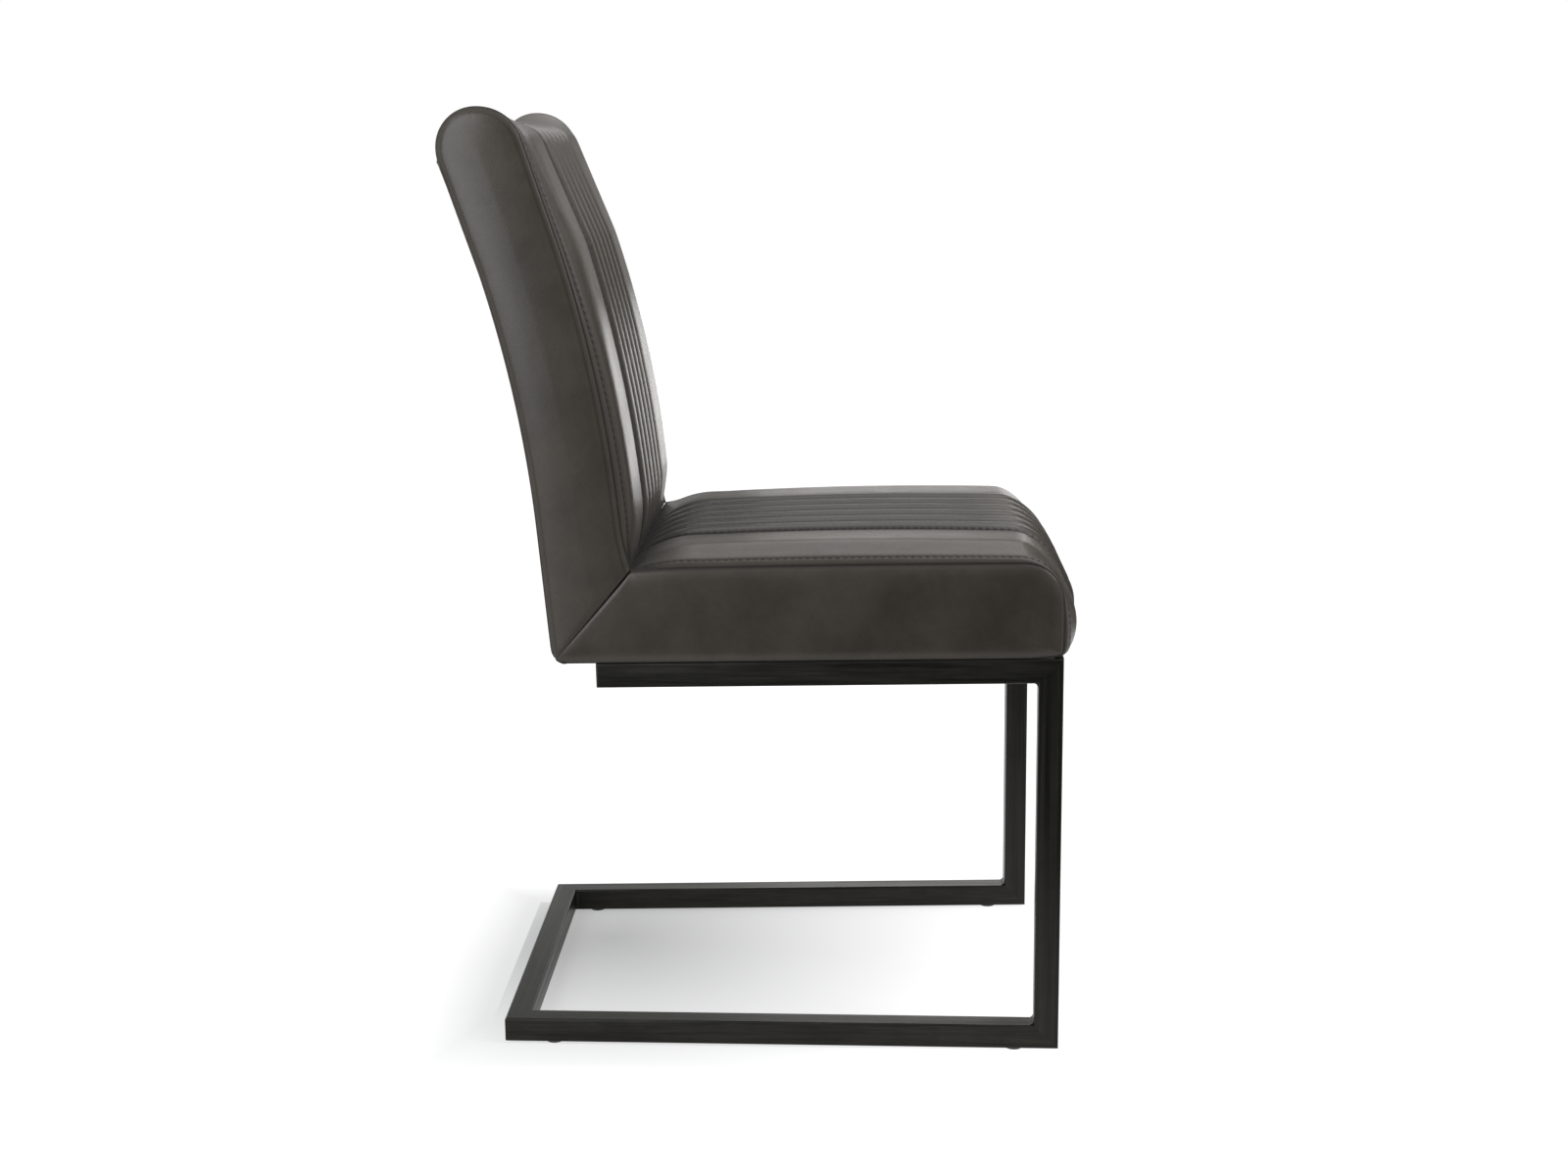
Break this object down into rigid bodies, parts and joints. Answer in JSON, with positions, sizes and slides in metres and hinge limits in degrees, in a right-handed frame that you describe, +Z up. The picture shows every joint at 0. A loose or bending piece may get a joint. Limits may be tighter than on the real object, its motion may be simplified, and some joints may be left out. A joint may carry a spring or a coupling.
{
  "type": "cantilever dining chair",
  "caption": "Cantilever dining chair: a welded square tube frame with a U-shaped floor run carries an upholstered seat and a high curved back, both with stitched channels down the middle.",
  "frame": {"origin": "on the floor, under the middle of the chair's overall box", "axes": "+Z up, -Y the way the sitter faces, +X to the sitter's left, so that the chair's width runs along X"},
  "size_m": [0.4646, 0.6249, 0.9508],
  "materials": {
    "frame": "dark gunmetal, lightly brushed",
    "leather": "waxed charcoal brown, matte and slightly mottled",
    "foam": "cut polyurethane foam",
    "plywood": "raw birch plywood",
    "lining": "black non-woven sheet",
    "plastic": "black moulded",
    "fasteners": "zinc plated",
    "bracket_steel": "black powder coat"
  },
  "bodies": {
    "root": {"front_leg_right": "frame", "front_leg_left": "frame", "floor_rail_right": "frame", "floor_rail_left": "frame", "seat_rail_right": "frame", "seat_rail_left": "frame", "rear_floor_bar": "frame", "seat_cross_bar_front": "frame", "seat_cross_bar_rear": "frame", "weld_beads": "frame", "rail_end_plugs": "plastic", "floor_glides": "plastic", "base_screws": "fasteners", "base_washers": "fasteners", "tee_nuts": "fasteners", "seat_board": "plywood", "dust_cover": "lining", "seat_foam": "foam", "seat_top_cover": "leather", "seat_side_cover_right": "leather", "seat_side_cover_left": "leather", "back_board": "plywood", "back_bracket_right": "bracket_steel", "back_bracket_left": "bracket_steel", "bracket_screws": "fasteners", "back_foam": "foam", "back_front_cover": "leather", "back_side_cover_right": "leather", "back_side_cover_left": "leather", "back_rear_cover": "leather"}
  },
  "joints": []
}
